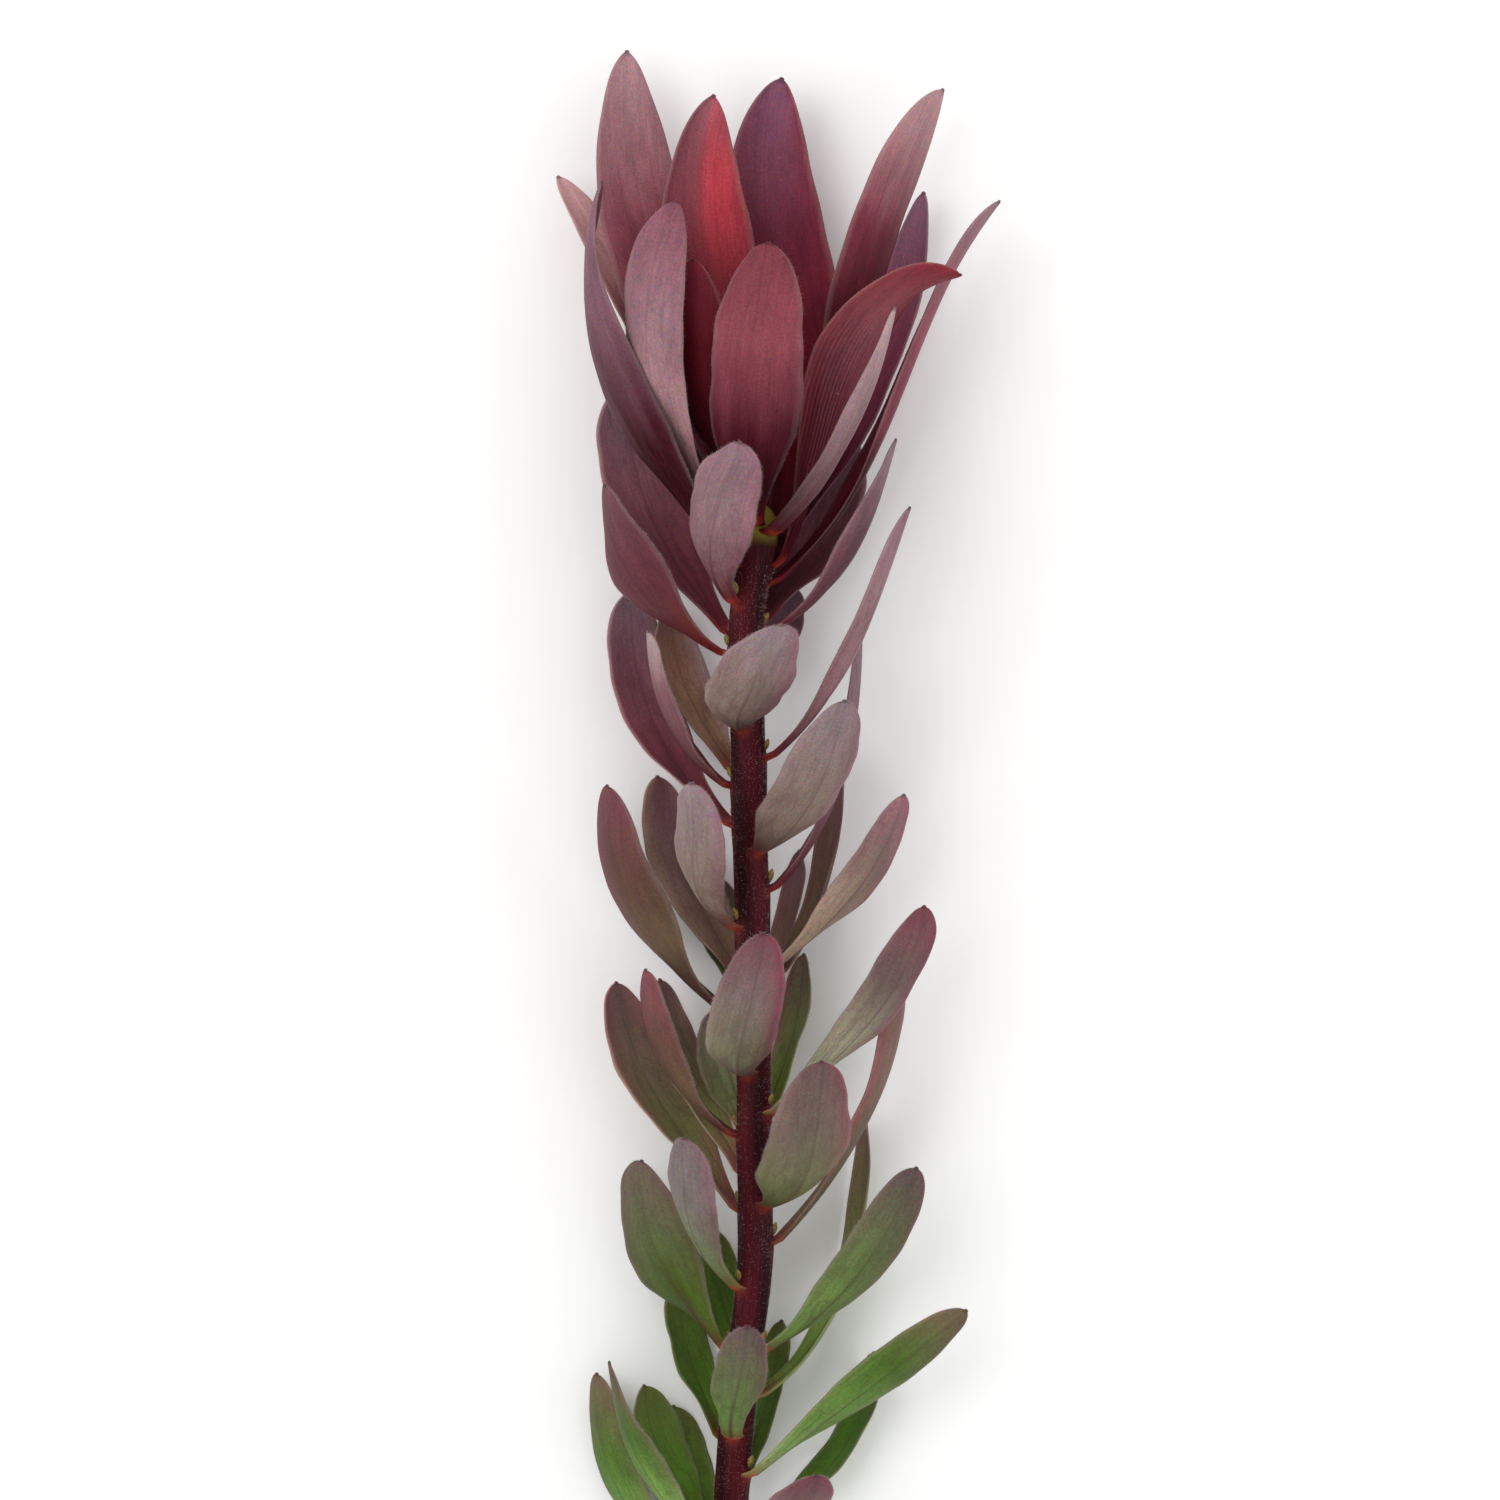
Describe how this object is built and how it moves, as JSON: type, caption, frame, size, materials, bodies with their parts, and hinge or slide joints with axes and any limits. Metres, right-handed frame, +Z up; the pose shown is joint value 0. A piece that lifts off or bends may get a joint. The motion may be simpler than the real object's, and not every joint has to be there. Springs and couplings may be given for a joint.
{
  "type": "leucadendron stem",
  "caption": "Cut leucadendron stem lying on a surface: maroon bark, spiralling leaves from green to plum, and a flower head of layered rose and crimson bracts",
  "frame": {"origin": "the middle of the object's box, on the surface that it lies on", "axes": "+Y runs along the stem to the flower head, +X is to the right when it is looked down on, +Z is up"},
  "size_m": [0.0984, 0.4112, 0.0713],
  "materials": {
    "stem_bark": "satin",
    "green_leaf": "satin",
    "taupe_leaf": "satin",
    "plum_leaf": "satin",
    "rose_bract": "satin",
    "crimson_bract": "satin"
  },
  "bodies": {
    "root": {"stem": "stem_bark", "leaf_front_1": "plum_leaf", "leaf_front_2": "plum_leaf", "leaf_front_3": "taupe_leaf", "leaf_front_4": "taupe_leaf", "leaf_front_5": "taupe_leaf", "leaf_front_6": "green_leaf", "leaf_front_7": "green_leaf", "leaf_front_left_1": "taupe_leaf", "leaf_front_left_2": "taupe_leaf", "leaf_right_1": "plum_leaf", "leaf_right_2": "plum_leaf", "leaf_right_3": "plum_leaf", "leaf_right_4": "taupe_leaf", "leaf_right_5": "taupe_leaf", "leaf_right_6": "green_leaf", "leaf_right_7": "green_leaf", "leaf_back_right_1": "plum_leaf", "leaf_back_right_2": "plum_leaf", "leaf_back_right_3": "taupe_leaf", "leaf_back_right_4": "taupe_leaf", "leaf_back_right_5": "green_leaf", "leaf_back_right_6": "green_leaf", "leaf_back_right_7": "green_leaf", "leaf_back_right_8": "green_leaf", "leaf_left_1": "plum_leaf", "leaf_left_2": "plum_leaf", "leaf_left_3": "taupe_leaf", "leaf_left_4": "taupe_leaf", "leaf_left_5": "green_leaf", "leaf_left_6": "green_leaf", "leaf_left_7": "green_leaf", "leaf_left_8": "green_leaf", "leaf_back_left_1": "plum_leaf", "leaf_back_left_2": "plum_leaf", "leaf_back_left_3": "plum_leaf", "leaf_back_left_4": "taupe_leaf", "leaf_back_left_5": "taupe_leaf", "leaf_back_left_6": "green_leaf", "leaf_back_left_7": "green_leaf", "leaf_back_left_8": "green_leaf", "leaf_back_left_9": "green_leaf", "leaf_back_left_10": "green_leaf", "leaf_back_1": "taupe_leaf", "leaf_back_2": "plum_leaf", "bract_front_1": "rose_bract", "bract_front_2": "rose_bract", "bract_front_left_1": "rose_bract", "bract_front_right_1": "rose_bract", "bract_left_1": "rose_bract", "bract_left_2": "rose_bract", "bract_right_1": "rose_bract", "bract_back_right_1": "rose_bract", "bract_back_right_2": "rose_bract", "bract_back_left_1": "rose_bract", "bract_back_1": "crimson_bract", "bract_back_2": "crimson_bract", "bract_inner_1": "crimson_bract", "bract_back_3": "rose_bract"}
  },
  "joints": []
}
